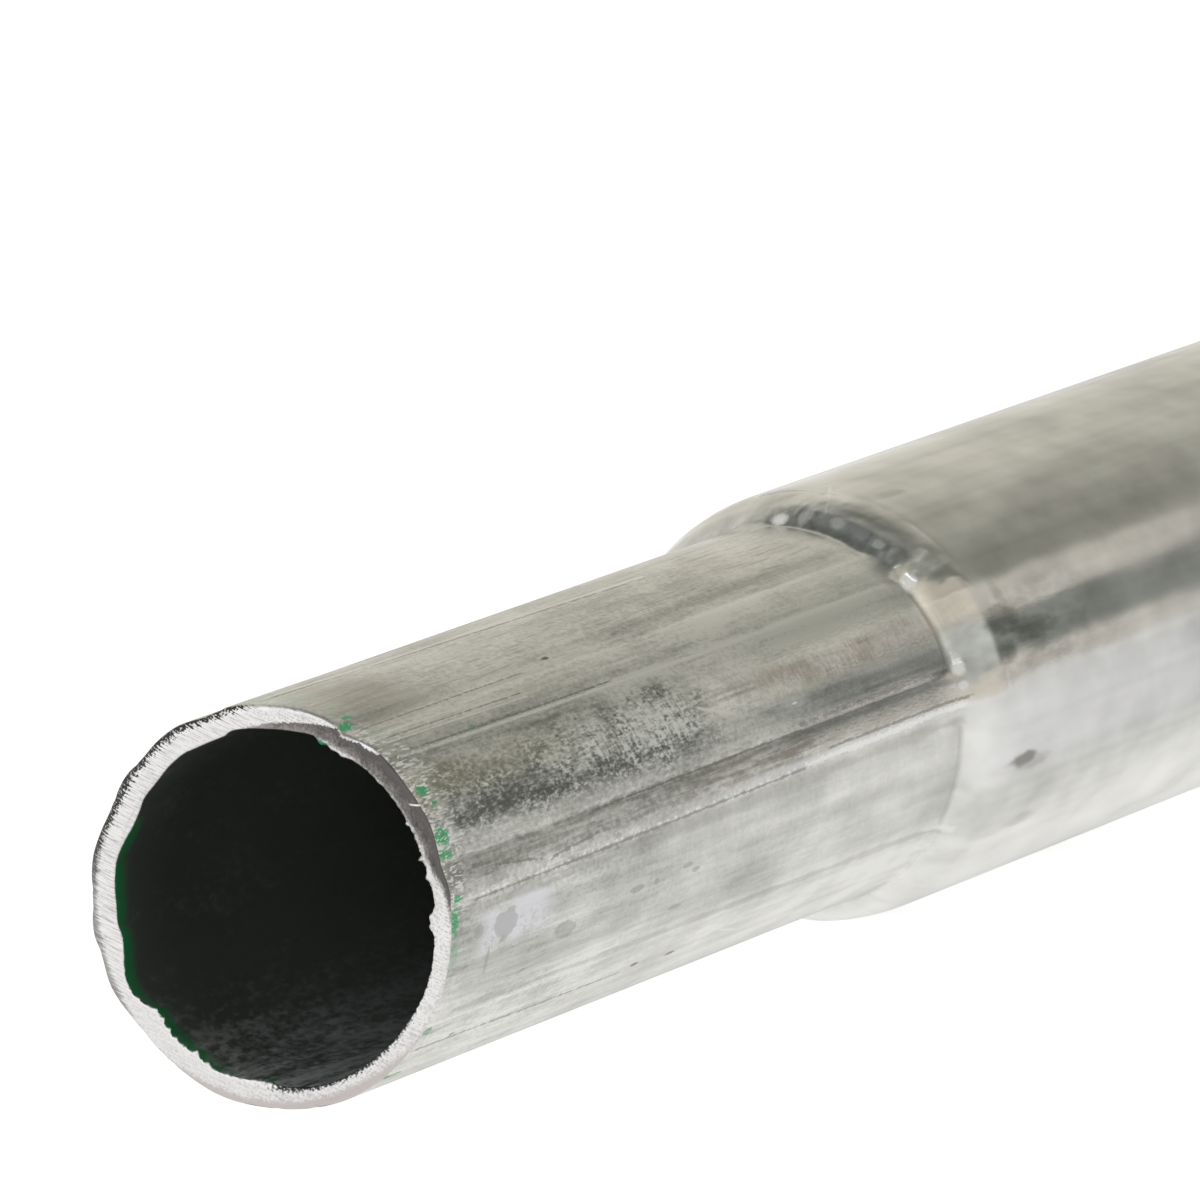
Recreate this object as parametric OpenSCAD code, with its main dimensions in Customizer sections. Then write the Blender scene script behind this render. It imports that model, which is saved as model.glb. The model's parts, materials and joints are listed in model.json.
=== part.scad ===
// Swaged round steel pipe: a straight galvanised tube whose one end is pressed down
// over a short length, so that it slides into the plain end of the next tube.
// The tube lies along X on the plane Z = 0, with its swaged end at -X.

/* [Tube] */
// Overall length, swaged end included (10 ft 6 in stock)
pipe_length = 3200; // [1500:1:6400]
// Outside diameter of the plain tube (1 3/8 in)
tube_od = 34.92; // [30:0.01:61]
// Wall of the plain tube
tube_wall = 1.65; // [1.2:0.05:2.8]
// Rounding that sawing and zinc leave on the outer edge of both ends
edge_round = 0.35; // [0.1:0.05:0.5]

/* [Swaged end] */
// Length of the pressed lands, from the cut end to the shoulder
swage_length = 86; // [50:1:150]
// Rise of the lands' radius past the start of the ribs' climb, as the die's throat flares
land_flare = 0.1; // [0.05:0.05:0.3]
// Gap between the lands and the bore of the next tube, on the radius
joint_clearance = 0.3; // [0.1:0.05:0.8]
// Wall of the swaged end, which pressing makes thicker
swage_wall = 1.85; // [1.2:0.05:3]

/* [Shoulder] */
// Slope of the shoulder, measured from the tube's axis
shoulder_angle = 35; // [25:1:50]
// Fillet in the corner where the lands meet the shoulder
corner_radius = 1.2; // [0.4:0.1:2.5]
// Rounding where the shoulder runs out into the tube
crown_radius = 6; // [3:0.5:8]

/* [Die marks] */
// Number of die segments, each of which leaves one land
die_count = 8; // [4:1:12]
// Width of the rib left in the gap between two die segments, in degrees
rib_angle = 12; // [6:1:20]
// Position of the first rib, in degrees from straight down
first_rib_angle = 33; // [0:1:44]
// Length over which each rib climbs towards the tube's diameter
rib_climb_length = 4; // [3:1:30]
// Depth of the crease along each side of a rib
crease_depth = 0.25; // [0.1:0.05:0.4]
// Radius of the crease's bottom
crease_radius = 0.7; // [0.5:0.1:1.5]

/* [Hidden] */
$fn = 96;

// Steps in the arc that rounds one corner of an outline
arc_steps = 8;
// Length by which cutting shapes run past the material
overrun = 2;

tube_r = tube_od / 2;
bore_r = tube_r - tube_wall;
land_r = bore_r - joint_clearance;
swage_bore_r = land_r - swage_wall;

// The shoulder's corners before rounding, outside and inside
flare_r = land_r + land_flare;
shoulder_run = (tube_r - flare_r) / tan(shoulder_angle);
shoulder_end = swage_length + shoulder_run;
half_turn = tan(shoulder_angle / 2);
bore_shoulder_start = swage_length + swage_wall * half_turn;
bore_shoulder_end = bore_shoulder_start + (bore_r - swage_bore_r) / tan(shoulder_angle);

// Each rib starts a crease's depth under the lands and stops short of the tube's surface
rib_start = swage_length - rib_climb_length;
rib_base_r = land_r - crease_depth;
rib_top_r = tube_r - crease_depth;
rib_core_r = land_r - swage_wall / 2;

// Points of the arc that rounds corner b of the path a, b, c
function corner_arc(a, b, c, radius) =
    let (
        to_a = (a - b) / norm(a - b),
        to_c = (c - b) / norm(c - b),
        half = acos(to_a * to_c) / 2,
        middle = (to_a + to_c) / norm(to_a + to_c),
        centre = b + middle * radius / sin(half),
        first = b + to_a * radius / tan(half) - centre,
        last = b + to_c * radius / tan(half) - centre,
        sweep = 180 - 2 * half
    )
    [for (i = [0 : arc_steps])
        centre + (first * sin(sweep * (1 - i / arc_steps)) + last * sin(sweep * i / arc_steps)) / sin(sweep)];

// Outline through corners [r, s, radius], rounded where the radius isn't zero
function rounded(corners) =
    let (last = len(corners) - 1)
    [for (i = [0 : last])
        let (
            before = corners[i == 0 ? last : i - 1],
            here = corners[i],
            after = corners[i == last ? 0 : i + 1],
            a = [before[0], before[1]],
            b = [here[0], here[1]],
            c = [after[0], after[1]]
        )
        each here[2] > 0 ? corner_arc(a, b, c, here[2]) : [b]];

// Half section of the tube's outside: radius against distance from the swaged end
module outside_section() {
    polygon(rounded([
        [0, 0, 0],
        [land_r, 0, edge_round],
        [land_r, rib_start, 0],
        [flare_r, swage_length, corner_radius],
        [tube_r, shoulder_end, crown_radius],
        [tube_r, pipe_length, edge_round],
        [0, pipe_length, 0]
    ]));
}

// Half section of the bore, narrower inside the swaged end
module bore_section() {
    polygon(rounded([
        [0, -overrun, 0],
        [swage_bore_r, -overrun, 0],
        [swage_bore_r, bore_shoulder_start, corner_radius + swage_wall],
        [bore_r, bore_shoulder_end, crown_radius - tube_wall],
        [bore_r, pipe_length + overrun, 0],
        [0, pipe_length + overrun, 0]
    ]));
}

// Half section of a rib's ramp, from inside the lands up to the shoulder's crown
module rib_section() {
    polygon([
        [rib_core_r, rib_start],
        [rib_base_r, rib_start],
        [rib_top_r, shoulder_end],
        [rib_core_r, shoulder_end]
    ]);
}

// Repeats its children at every rib
module at_ribs() {
    for (i = [0 : die_count - 1])
        rotate([0, 0, first_rib_angle + i * 360 / die_count])
            children();
}

module rib_ramp() {
    rotate([0, 0, -rib_angle / 2])
        rotate_extrude(angle = rib_angle)
            rib_section();
}

// The two creases that the die segments' edges press beside a rib
module crease_pair() {
    for (side = [-1, 1])
        rotate([0, 0, side * rib_angle / 2])
            translate([land_r - crease_depth + crease_radius, 0, -overrun])
                cylinder(r = crease_radius, h = rib_start + overrun);
}

// The pipe standing on its swaged end, around Z
module upright_pipe() {
    difference() {
        union() {
            rotate_extrude() outside_section();
            at_ribs() rib_ramp();
        }
        at_ribs() crease_pair();
        rotate_extrude() bore_section();
    }
}

module steel_pipe() {
    color("silver")
        translate([-pipe_length / 2, 0, tube_r])
            rotate([0, 90, 0])
                upright_pipe();
}

steel_pipe();
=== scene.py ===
import bpy
import json
import math
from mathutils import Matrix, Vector, noise


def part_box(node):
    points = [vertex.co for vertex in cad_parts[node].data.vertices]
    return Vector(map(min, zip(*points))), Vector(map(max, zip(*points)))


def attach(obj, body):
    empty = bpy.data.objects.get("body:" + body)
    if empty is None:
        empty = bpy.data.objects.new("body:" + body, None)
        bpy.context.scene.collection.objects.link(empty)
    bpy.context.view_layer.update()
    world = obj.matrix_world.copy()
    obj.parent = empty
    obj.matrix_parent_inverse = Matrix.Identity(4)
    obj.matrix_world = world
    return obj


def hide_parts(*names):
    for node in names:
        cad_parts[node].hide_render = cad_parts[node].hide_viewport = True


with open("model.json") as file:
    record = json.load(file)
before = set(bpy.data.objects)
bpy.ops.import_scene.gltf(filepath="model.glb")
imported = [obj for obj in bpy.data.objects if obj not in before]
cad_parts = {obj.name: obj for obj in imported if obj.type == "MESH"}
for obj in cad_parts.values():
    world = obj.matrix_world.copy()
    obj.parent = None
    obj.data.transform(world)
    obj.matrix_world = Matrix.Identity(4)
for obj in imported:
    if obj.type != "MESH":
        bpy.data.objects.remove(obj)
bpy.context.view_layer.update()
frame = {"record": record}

# sizes that come with the frame, in metres
low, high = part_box("steel_pipe")
mountSizes = {mount["name"]: mount["dims"] for mount in frame["record"]["mounts"]}
mm = 0.001
endX = low[0]                                # the swaged cut end
pipeLength = (high[0] - low[0]) / mm         # the pipe's own sizes below are in mm
tubeRadius = (high[2] - low[2]) / 2 / mm
landRadius = mountSizes["swaged_end"]["r_mm"]
boreRadius = mountSizes["plain_end"]["r_mm"]
axisHeight = (high[2] + low[2]) / 2


# camera

shot = {
    "lens": 496.65,              # mm on a 36 mm square sensor
    "turn": 27.35,               # degrees between the view and the pipe, seen from above
    "tilt": 10.515,              # degrees that the view looks down
    "distance": 1.24325,         # metres from the cut end
    "across": -0.02472,          # where the cut end's middle lies in the view, metres
    "upwards": -0.02322,
}


def setCamera():
    turn = math.radians(shot["turn"])
    tilt = math.radians(shot["tilt"])
    forward = Vector((math.cos(turn) * math.cos(tilt), math.sin(turn) * math.cos(tilt), -math.sin(tilt)))
    right = Vector((math.sin(turn), -math.cos(turn), 0))
    up = right.cross(forward)
    cutEnd = Vector((endX, 0, axisHeight))
    place = cutEnd - forward * shot["distance"] - right * shot["across"] - up * shot["upwards"]
    bpy.ops.object.camera_add(location=place, rotation=(math.pi / 2 - tilt, 0, turn - math.pi / 2))
    camera = bpy.context.object
    camera.name = "shotCamera"
    camera.data.sensor_width = 36
    camera.data.lens = shot["lens"]
    camera.data.clip_start = 0.05
    camera.data.clip_end = 200
    bpy.context.scene.camera = camera
    print("camera set")


# shader sums

class Wire:
    # a socket that takes part in sums, so that 1 - mask adds its own Math node
    def __init__(self, tree, socket=None):
        self.tree = tree
        self.socket = socket

    def plug(self, socket, value):
        if isinstance(value, Wire):
            self.tree.links.new(value.socket, socket)
        else:
            socket.default_value = value

    # any other node: its type, its settings, then its sockets
    def node(self, kind, settings=None, sockets=None, out=0):
        made = self.tree.nodes.new(kind)
        for name, value in (settings or {}).items():
            if name == "stops":
                fillRamp(made.color_ramp, value)
            else:
                setattr(made, name, value)
        for name, value in (sockets or {}).items():
            self.plug(made.inputs[name], value)
        return Wire(self.tree, made.outputs[out])

    def maths(self, operation, *values):
        return self.node("ShaderNodeMath", {"operation": operation}, dict(enumerate(values)))

    def __add__(self, other):
        return self.maths("ADD", self, other)

    def __sub__(self, other):
        return self.maths("SUBTRACT", self, other)

    def __mul__(self, other):
        return self.maths("MULTIPLY", self, other)

    def __truediv__(self, other):
        return self.maths("DIVIDE", self, other)

    def __rsub__(self, other):
        return self.maths("SUBTRACT", other, self)

    __radd__ = __add__
    __rmul__ = __mul__

    def power(self, other):
        return self.maths("POWER", self, other)

    def absolute(self):
        return self.maths("ABSOLUTE", self)

    def larger(self, other):
        return self.maths("MAXIMUM", self, other)

    def smaller(self, other):
        return self.maths("MINIMUM", self, other)

    # 0 at start and 1 at end, smooth between
    def ease(self, start, end):
        values = {"Value": self, "From Min": start, "From Max": end, "To Min": 0.0, "To Max": 1.0}
        return self.node("ShaderNodeMapRange", {"interpolation_type": "SMOOTHSTEP"}, values)

    # 1 from start to end, with soft edges
    def between(self, start, end, soft):
        return self.ease(start - soft, start + soft) * (1 - self.ease(end - soft, end + soft))

    def mixColour(self, first, second):
        settings = {"data_type": "RGBA", "blend_type": "MIX"}
        return self.node("ShaderNodeMix", settings, {0: self, 6: first, 7: second}, out=2)

    def split(self, vector):
        parts = self.node("ShaderNodeSeparateXYZ", None, {0: vector}).socket.node.outputs
        return [Wire(self.tree, part) for part in parts]


def fillRamp(ramp, stops):
    while len(ramp.elements) < len(stops):
        ramp.elements.new(1.0)
    for element, (place, value) in zip(ramp.elements, stops):
        element.position = place
        element.color = (*value, 1) if isinstance(value, tuple) else (value, value, value, 1)


def newMaterial(name):
    material = bpy.data.materials.new(name)
    material.use_nodes = True
    tree = material.node_tree
    return material, Wire(tree), tree.nodes["Principled BSDF"]


# studio

studio = {
    "floorSize": 60.0,
    "floorShade": 0.8,
    "floorGlow": 0.72,           # what the floor adds to its own shade for the camera
    "floorInMetal": 0.42,        # and in metal and glass
    "wallStart": 0.70,           # the far wall starts where a view's slope along the pipe is this
    "wallFull": 0.84,
    "topSpread": 0.40,           # overhead, room and wall blend over a longer stretch
    "behindCamera": (0.95, 0.94, 0.94, 1),
}

# the far wall, by degrees around the pipe from the front floor over the top to the back floor
wallBands = [
    (0, (0.66, 0.63, 0.58)),
    (9, (0.68, 0.64, 0.58)),
    (12, (0.21, 0.225, 0.20)),
    (33, (0.20, 0.215, 0.19)),
    (36, (0.62, 0.59, 0.54)),
    (53, (0.60, 0.57, 0.51)),
    (56, (0.31, 0.31, 0.265)),
    (68, (0.31, 0.305, 0.265)),
    (98, (0.45, 0.44, 0.38)),
    (138, (0.64, 0.615, 0.535)),
    (168, (0.70, 0.675, 0.60)),
    (180, (0.76, 0.74, 0.67)),
]

# the room beside the pipe, in the same way
roomBands = [
    (0, (0.79, 0.74, 0.65)),
    (9, (0.79, 0.74, 0.65)),
    (12, (0.60, 0.615, 0.58)),
    (32, (0.60, 0.615, 0.58)),
    (35, (0.80, 0.745, 0.635)),
    (49, (0.78, 0.73, 0.625)),
    (57, (0.43, 0.435, 0.385)),
    (68, (0.27, 0.28, 0.26)),
    (78, (0.19, 0.20, 0.19)),
    (100, (0.17, 0.18, 0.17)),
    (112, (0.28, 0.28, 0.26)),
    (124, (0.46, 0.46, 0.41)),
    (180, (0.80, 0.79, 0.74)),
]

softBoxes = [
    # place, what it points at, width, height, watts
    ((-1.72, -1.14, 0.36), (-1.51, 0, 0.02), 0.10, 0.10, 0.07),
    ((-1.65, -0.59, 1.07), (-1.51, 0, 0.02), 0.14, 0.14, 0.2),
]


def setWorld():
    world = bpy.data.worlds.new("studioRoom")
    bpy.context.scene.world = world
    world.use_nodes = True
    wire = Wire(world.node_tree)
    along, side, height = wire.split(wire.node("ShaderNodeTexCoord", out="Generated"))
    turn = wire.maths("ARCTAN2", height, 0 - side) / math.pi
    wallStops = [(degrees / 180, colour) for degrees, colour in wallBands]
    roomStops = [(degrees / 180, colour) for degrees, colour in roomBands]
    wall = wire.node("ShaderNodeValToRGB", {"stops": wallStops}, {"Fac": turn})
    room = wire.node("ShaderNodeValToRGB", {"stops": roomStops}, {"Fac": turn})
    overhead = turn.ease(0.25, 0.42)
    wallShare = along.ease(studio["wallStart"] - overhead * studio["topSpread"], studio["wallFull"])
    around = wallShare.mixColour(room, wall)
    behind = (0 - along).ease(0.4, 0.75)
    background = world.node_tree.nodes["Background"]
    wire.plug(background.inputs["Color"], behind.mixColour(around, studio["behindCamera"]))
    background.inputs["Strength"].default_value = 1.0
    print("world set")


def addSoftBoxes():
    for number, (place, target, width, height, watts) in enumerate(softBoxes):
        bpy.ops.object.light_add(type="AREA", location=place)
        lamp = bpy.context.object
        lamp.name = f"softBox{number + 1}"
        lamp.rotation_euler = (Vector(target) - Vector(place)).to_track_quat("-Z", "Y").to_euler()
        lamp.data.shape = "RECTANGLE"
        lamp.data.size = width
        lamp.data.size_y = height
        lamp.data.energy = watts
    print("soft boxes hung")


def addFloor():
    bpy.ops.object.select_all(action="DESELECT")
    bpy.ops.mesh.primitive_plane_add(size=studio["floorSize"], location=(0, 0, 0))
    floor = bpy.context.object
    floor.name = "studioFloor"
    material, wire, shader = newMaterial("floorPaper")
    shade = studio["floorShade"]
    shader.inputs["Base Color"].default_value = (shade, shade, shade, 1)
    shader.inputs["Roughness"].default_value = 1.0
    shader.inputs["Specular IOR Level"].default_value = 0.0
    rays = wire.node("ShaderNodeLightPath").socket.node.outputs
    kinds = ("Camera", "Glossy", "Transmission")
    camera, glossy, clear = [Wire(wire.tree, rays[f"Is {kind} Ray"]) for kind in kinds]
    glow = camera * studio["floorGlow"] + (glossy + clear).smaller(1.0) * studio["floorInMetal"]
    wire.plug(shader.inputs["Emission Color"], glow)
    shader.inputs["Emission Strength"].default_value = 1.0
    floor.data.materials.append(material)
    print("floor laid")


# the pipe's shape

pipe = {
    "segments": 512,
    "edgeRound": 0.35,           # rounding of the cut edges
    "swageLength": 86.0,         # lands, from the cut end to the shoulder
    "swageWall": 1.85,
    "landSink": 0.1,             # the pressed lands lie this far under their high spots
    "shoulderAngle": 35.0,
    "cornerRadius": 0.7,
    "crownRadius": 8.4,
    "ribStart": 82.5,            # the ribs leave the lands here and meet the tube at ribEnd
    "ribEnd": 91.5,
    "ribHalf": 6.0,              # degrees
    "ribStrength": 0.45,         # how far each rib stands out of the shoulder's corner
    "creaseDepth": 0.05,
    "detailEnd": 134.0,          # past this the pipe is a plain tube
    "cutReach": 0.24,            # faces this near the swaged end belong to its cut
    "plainReach": 0.22,          # and this near the plain end to its own
    "crownSoft": (87.6, 89.0, 96.0),     # where the crown starts to run out softly, is soft, and ends
    "crownSharp": (12, 16, 42, 47),      # degrees between which it stays sharp, with their soft edges
}
ribPlaces = [12, 57, 101, 146, 191, 230, 277, 326]

# spacing of the rings along the pipe, each up to the place that comes with it
ringSteps = [(3.15, 0.4), (60.0, 3.0), (81.0, 1.5), (94.0, 0.28), (105.0, 1.4), (134.0, 4.0), (3190.0, 509.0)]
boreSteps = [(4.15, 0.4), (20.0, 2.0), (84.0, 8.0), (96.0, 1.0), (3190.0, 619.0)]

# points across the swaged cut, from the bore's edge to the outside: depth behind the cut, share of the wall
cutPoints = [(0.15, 0.985), (0.04, 0.95), (0.0, 0.9), (0.0, 0.8), (0.0, 0.68), (0.0, 0.56), (0.0, 0.44),
             (0.0, 0.33), (0.0, 0.24), (0.02, 0.15), (0.08, 0.07), (0.2, 0.02)]

# the cut end isn't round: degrees and radius of its outside and of its bore
rimOutside = [(0, 15.28), (10, 15.38), (17, 15.2), (22, 15.28), (30, 15.55), (42, 15.55), (50, 15.68),
              (56, 15.75), (62, 15.5), (66.5, 15.25), (70, 15.58), (78, 15.68), (92, 15.6), (104, 15.55),
              (112, 15.28), (122, 15.55), (130, 15.5), (137, 15.35), (145, 15.52), (156, 15.32), (163, 15.5),
              (170, 15.7), (176, 15.65), (182, 15.45), (192, 15.72), (199, 15.52), (208, 15.7), (218, 15.4),
              (226, 15.3), (240, 15.42), (253, 15.58), (268, 15.42), (300, 15.42), (320, 15.27), (340, 15.28)]
rimInside = [(10, 13.6), (20, 13.38), (30, 13.42), (40, 13.5), (52, 13.55), (66, 13.5), (75, 13.84),
             (82, 13.78), (90, 13.7), (104, 13.68), (107.5, 13.4), (118, 13.3), (123, 13.4), (130, 13.33),
             (138, 13.13), (146, 13.15), (150, 12.97), (156, 12.92), (162, 13.15), (169, 13.45), (176, 13.45),
             (184, 13.32), (190, 13.38), (195, 13.22), (200, 13.5), (206, 14.0), (211, 14.15), (217, 13.7),
             (223, 13.2), (231, 13.55), (241, 13.4), (248, 13.65), (256, 13.5),
             (267, 13.25), (277, 13.6), (290, 13.75), (310, 13.68), (325, 13.78), (345, 13.95)]

# torn metal on the bore's edge of the cut: place, half width in degrees, reach into the bore
burrs = [(-0.5, 1.5, 0.50), (2.6, 1.8, 0.48), (14.8, 1.5, 0.32), (21.3, 0.9, 0.48), (33.6, 0.8, 0.24),
         (49.5, 1.2, 0.14), (65.0, 2.2, 0.26), (69.0, 1.8, 0.30), (73.0, 1.6, 0.42), (221.0, 1.1, 0.22),
         (225.0, 0.8, 0.2), (229.0, 1.0, 0.24), (232.5, 0.8, 0.22), (241.0, 1.1, 0.22), (246.0, 0.9, 0.14)]


def ease(value, start, end):
    share = min(max((value - start) / (end - start), 0.0), 1.0)
    return share * share * (3 - 2 * share)


def turnFrom(theta, place):
    return (theta - place + 180) % 360 - 180


def roundTrip(theta, knots):
    # a smooth closed curve through knots of degrees and radius
    count = len(knots)
    theta = (theta - knots[0][0]) % 360 + knots[0][0]
    index = max(i for i in range(count) if knots[i][0] <= theta)
    near = []
    for step in (-1, 0, 1, 2):
        place, radius = knots[(index + step) % count]
        near.append((place + 360 * ((index + step) // count), radius))
    (p0, r0), (p1, r1), (p2, r2), (p3, r3) = near
    gap = p2 - p1
    t = (theta - p1) / gap
    leave = (r2 - r0) / (p2 - p0) * gap
    arrive = (r3 - r1) / (p3 - p1) * gap
    cube = 2 * t ** 3 - 3 * t ** 2
    return r1 * (cube + 1) - r2 * cube + leave * (t ** 3 - 2 * t ** 2 + t) + arrive * (t ** 3 - t ** 2)


def shoulderRadius(s, foot, crest, start):
    # a fillet, a straight slope and a round crown between two radii
    slope = math.tan(math.radians(pipe["shoulderAngle"]))
    half = math.tan(math.radians(pipe["shoulderAngle"]) / 2)
    end = start + (crest - foot) / slope
    filletReach = pipe["cornerRadius"] * half
    crownReach = pipe["crownRadius"] * half
    flat = math.cos(math.radians(pipe["shoulderAngle"]))
    if s <= start - filletReach:
        return foot
    if s < start + filletReach * flat:
        run = s - start + filletReach
        return foot + pipe["cornerRadius"] - math.sqrt(pipe["cornerRadius"] ** 2 - run ** 2)
    if s <= end - crownReach * flat:
        return foot + (s - start) * slope
    if s < end + crownReach:
        run = end + crownReach - s
        return crest - pipe["crownRadius"] + math.sqrt(pipe["crownRadius"] ** 2 - run ** 2)
    return crest


def outerSection(s):
    return shoulderRadius(s, landRadius - pipe["landSink"], tubeRadius, pipe["swageLength"])


def innerSection(s):
    start = pipe["swageLength"] + pipe["swageWall"] * math.tan(math.radians(pipe["shoulderAngle"]) / 2)
    return shoulderRadius(s, landRadius - pipe["swageWall"], boreRadius, start)


sectionsSeen = {}


def sectionPair(s):
    ring = round(s, 3)
    if ring not in sectionsSeen:
        sectionsSeen[ring] = (outerSection(s), innerSection(s))
    return sectionsSeen[ring]


def outerRadius(s, theta, section, rim):
    foot = landRadius - pipe["landSink"]
    # the crown runs out softly into the tube, except at the front
    softStart, softFull, softEnd = pipe["crownSoft"]
    first, firstFull, lastFull, last = pipe["crownSharp"]
    sharp = ease(theta, first, firstFull) * (1 - ease(theta, lastFull, last))
    soft = ease(s, softStart, softFull) * (1 - sharp)
    if soft > 0 and s < softEnd:
        smooth = sum(sectionPair(s + step)[0] for step in (-1.8, -0.6, 0.6, 1.8)) / 4
        section += (smooth - section) * soft
    onSwage = 1 - ease(s, pipe["swageLength"] - 6, pipe["swageLength"] + 4)
    radius = section + (rim - foot) * (1 - 0.65 * ease(s, 1, 25)) * onSwage
    turn = min(abs(turnFrom(theta, place)) for place in ribPlaces)
    # shallow creases where the dies' edges met the tube
    crease = math.exp(-((turn - pipe["ribHalf"]) / 1.1) ** 2)
    radius -= pipe["creaseDepth"] * crease * onSwage
    if s < pipe["ribStart"] or s > pipe["ribEnd"]:
        return radius
    ramp = foot + (tubeRadius - foot) * ease(s, pipe["ribStart"], pipe["ribEnd"])
    rib = 1 - ease(turn, pipe["ribHalf"] - 3, pipe["ribHalf"] + 2)
    return max(radius, radius + (ramp - radius) * rib * pipe["ribStrength"])


def innerRadius(s, theta, section, rim):
    inSwage = 1 - ease(s, pipe["swageLength"] - 4, pipe["swageLength"] + 6)
    rimShare = (1 - 0.75 * ease(s, 0.5, 14)) * inSwage
    radius = section + (rim - landRadius + pipe["swageWall"]) * rimShare
    if s > 1.2:
        return radius
    edge = 1 - ease(s, 0.1, 1.2)
    for place, spread, reach in burrs:
        radius -= reach * edge * math.exp(-(turnFrom(theta, place) / spread) ** 2)
    # the edge is ragged where the saw broke out
    broken = max(math.exp(-(turnFrom(theta, 5) / 50) ** 2), math.exp(-(turnFrom(theta, 235) / 35) ** 2))
    return radius + edge * 0.18 * broken * noise.noise(Vector((theta * 0.9, s * 2, 3.1)))


def cutDepth(theta, share):
    # the saw left the pipe hanging by its front, which then broke off sloping inwards
    torn = ease(theta, -8, 18) * (1 - ease(theta, 66, 92))
    slope = torn * 0.7 * ease(share, 0.05, 1.1)
    ragged = torn * 0.08 * noise.noise(Vector((theta * 0.25, share * 3, 7.7)))
    # a second pass of the saw bevelled the underside, and a file the back
    under = ease(turnFrom(theta, 250), -25, 5) * (1 - ease(turnFrom(theta, 250), 75, 110))
    bevel = under * 0.16 * (1 - ease(share, 0.25, 0.55))
    back = ease(theta, 92, 108) * (1 - ease(theta % 360, 165, 205)) if theta > 0 else 0.0
    filed = back * 0.18 * (1 - ease(share, 0.08, 0.4))
    return slope + ragged + bevel + filed


def ringPlaces(steps, start):
    places = [start]
    for end, step in steps:
        while places[-1] + step <= end + 0.01:
            places.append(places[-1] + step)
    return places


def sectionPoints():
    edge = pipe["edgeRound"]
    points = [(s, 0.0) for s in ringPlaces(ringSteps, edge)]
    points += [(pipeLength - edge, 0.0), (pipeLength - 0.1, 0.06), (pipeLength, 0.2), (pipeLength, 0.6),
               (pipeLength, 0.9), (pipeLength - 0.15, 1.0)]
    points += [(s, 1.0) for s in reversed(ringPlaces(boreSteps, edge))]
    return points + cutPoints


def sectionPlace(s, share):
    radius = outerSection(s) + (innerSection(s) - outerSection(s)) * share
    return Vector((s * mm, 0, radius * mm))


def turnPipe():
    bpy.ops.object.select_all(action="DESELECT")
    places = [sectionPlace(s, share) for s, share in sectionPoints()]
    bpy.ops.mesh.primitive_plane_add(size=mm, location=(endX, 0, axisHeight))
    piece = bpy.context.object
    piece.name = "swagedPipe"
    bpy.ops.object.mode_set(mode="EDIT")
    bpy.ops.mesh.select_all(action="SELECT")
    bpy.ops.mesh.merge(type="CENTER")
    bpy.ops.transform.translate(value=places[0])
    for here, there in zip(places, places[1:] + places[:1]):
        bpy.ops.mesh.extrude_vertices_move(TRANSFORM_OT_translate={"value": there - here})
    bpy.ops.mesh.select_all(action="SELECT")
    bpy.ops.mesh.remove_doubles(threshold=0.01 * mm)
    bpy.ops.object.mode_set(mode="OBJECT")
    turned = piece.modifiers.new("turned", "SCREW")
    turned.axis = "X"
    turned.steps = pipe["segments"]
    turned.render_steps = pipe["segments"]
    turned.use_merge_vertices = True
    turned.merge_threshold = 0.01 * mm
    bpy.ops.object.modifier_apply(modifier=turned.name)
    bpy.ops.object.transform_apply(location=True, rotation=True, scale=True)
    bpy.ops.object.mode_set(mode="EDIT")
    bpy.ops.mesh.select_all(action="SELECT")
    bpy.ops.mesh.normals_make_consistent(inside=False)
    bpy.ops.object.mode_set(mode="OBJECT")
    print("pipe turned:", len(piece.data.polygons), "faces")
    return piece


def facePlace(place):
    # mm from the cut, degrees around the pipe, and share of the wall
    s = (place.x - endX) / mm
    across = -place.y / mm
    height = (place.z - axisHeight) / mm
    outer, inner = sectionPair(s)
    share = (outer - math.hypot(across, height)) / (outer - inner)
    return s, math.degrees(math.atan2(height, across)), share


def sortFaces(piece):
    # 0 outside, 1 cut faces, 2 bore, told apart while the section is still plain
    for face in piece.data.polygons:
        s, theta, share = facePlace(face.center)
        if s < pipe["cutReach"] or s > pipeLength - pipe["plainReach"]:
            face.material_index = 1
        elif share > 0.5:
            face.material_index = 2


# strips of the bake map, up its height: the swaged end gets most of it
bakeMap = {
    "nearEnd": 140.0,            # mm of the outside that the first strip holds
    "nearBore": 60.0,
    "outside": (0.0, 0.62),
    "farOutside": (0.63, 0.77),
    "bore": (0.78, 0.87),
    "farBore": (0.88, 0.92),
    "cut": (0.93, 0.965),
    "plainCut": (0.97, 0.995),
}


def bakeStrip(kind, s):
    # the strip of a face, and where along the pipe the strip starts and ends
    if kind == 1:
        return ("cut" if s < 100 else "plainCut"), 0.0, 1.0
    near, strips = [("nearEnd", ("outside", "farOutside")), ("nearBore", ("bore", "farBore"))][kind == 2]
    if s < bakeMap[near]:
        return strips[0], 0.0, bakeMap[near]
    return strips[1], bakeMap[near], pipeLength


def layBakeMap(piece):
    mesh = piece.data
    layer = mesh.uv_layers.new(name="OFBake")
    places = [facePlace(vertex.co) for vertex in mesh.vertices]
    for face in mesh.polygons:
        middle = facePlace(face.center)
        strip, start, end = bakeStrip(face.material_index, middle[0])
        bottom, top = bakeMap[strip]
        for loop in face.loop_indices:
            s, theta, share = places[mesh.loops[loop].vertex_index]
            place = share if face.material_index == 1 else s
            across = (middle[1] + turnFrom(theta, middle[1])) / 360 + 0.5
            upwards = bottom + (top - bottom) * min(max((place - start) / (end - start), 0.0), 1.0)
            layer.data[loop].uv = (min(max(across, 0.0), 1.0), upwards)
    print("bake map laid")


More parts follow.
